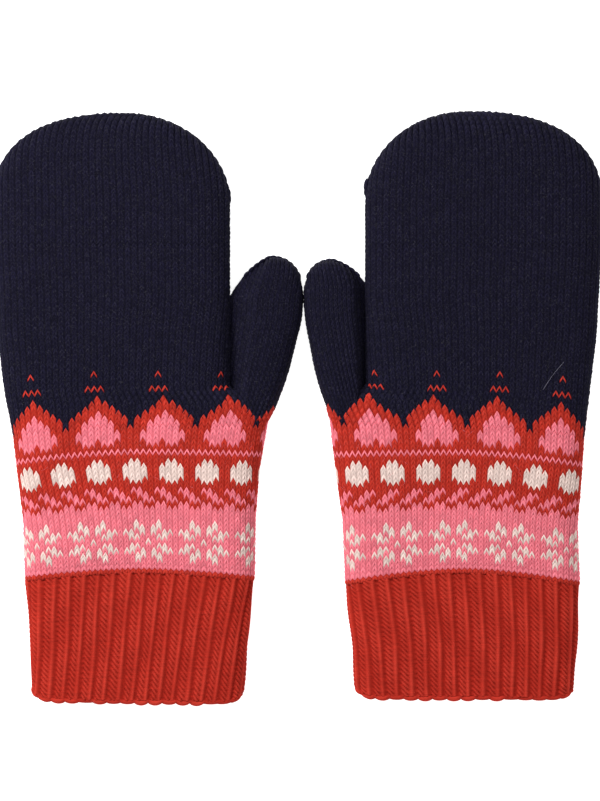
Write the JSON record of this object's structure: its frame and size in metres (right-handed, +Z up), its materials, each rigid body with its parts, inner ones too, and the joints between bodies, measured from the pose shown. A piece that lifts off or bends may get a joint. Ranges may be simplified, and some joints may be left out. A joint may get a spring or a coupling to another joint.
{
  "type": "pair of knitted mittens",
  "caption": "Pair of stranded-knit winter mittens with ribbed cuffs, a patterned wrist band, plain rounded hands and side thumbs, open at the cuff, hollow inside.",
  "frame": {"origin": "middle of the footprint, on the surface that the mittens lie on", "axes": "+X across the pair towards the right-hand mitten, +Y from the cuffs to the fingertips, +Z up out of the surface"},
  "size_m": [0.2716, 0.262, 0.02],
  "materials": {
    "navy_knit": "wool stocking stitch",
    "navy_seam": "linked wool seam",
    "pattern_knit": "stranded wool knitting in rust, pink, cream and navy",
    "float_strands": "loose wool strands behind the pattern",
    "rust_rib": "wool rib"
  },
  "bodies": {
    "left_mitten": {"left_hand": "navy_knit", "left_pattern_band": "pattern_knit", "left_band_floats": "float_strands"},
    "left_finger_part": {"left_fingers": "navy_knit", "left_tip_seam": "navy_seam", "left_seam_knot": "navy_seam"},
    "left_thumb_part": {"left_thumb": "navy_knit", "left_thumb_seam": "navy_seam"},
    "left_cuff_part": {"left_cuff": "rust_rib", "left_cast_on_edge": "rust_rib"},
    "right_mitten": {"right_hand": "navy_knit", "right_pattern_band": "pattern_knit", "right_band_floats": "float_strands"},
    "right_finger_part": {"right_fingers": "navy_knit", "right_tip_seam": "navy_seam", "right_seam_knot": "navy_seam"},
    "right_thumb_part": {"right_thumb": "navy_knit", "right_thumb_seam": "navy_seam"},
    "right_cuff_part": {"right_cuff": "rust_rib", "right_cast_on_edge": "rust_rib"}
  },
  "joints": [
    {"name": "pair_apart", "type": "slide", "parent": "left_mitten", "child": "right_mitten", "axis": [1, 0, 0], "range_m": [0, 0.06]},
    {"name": "left_fingers_fold", "type": "hinge", "parent": "left_mitten", "child": "left_finger_part", "pos_m": [-0.0824, 0.073, 0.01], "axis": [1, 0, 0], "range_deg": [0, 70]},
    {"name": "left_thumb_fold", "type": "hinge", "parent": "left_mitten", "child": "left_thumb_part", "pos_m": [-0.0298, 0.025, 0.01], "axis": [0, -1, 0], "range_deg": [0, 60]},
    {"name": "left_cuff_fold", "type": "hinge", "parent": "left_mitten", "child": "left_cuff_part", "pos_m": [-0.0694, -0.0725, 0.01], "axis": [-1, 0, 0], "range_deg": [0, 60]},
    {"name": "right_fingers_fold", "type": "hinge", "parent": "right_mitten", "child": "right_finger_part", "pos_m": [0.0876, 0.073, 0.01], "axis": [1, 0, 0], "range_deg": [0, 70]},
    {"name": "right_thumb_fold", "type": "hinge", "parent": "right_mitten", "child": "right_thumb_part", "pos_m": [0.0298, 0.025, 0.01], "axis": [0, 1, 0], "range_deg": [0, 60]},
    {"name": "right_cuff_fold", "type": "hinge", "parent": "right_mitten", "child": "right_cuff_part", "pos_m": [0.0746, -0.0725, 0.01], "axis": [-1, 0, 0], "range_deg": [0, 60]}
  ]
}
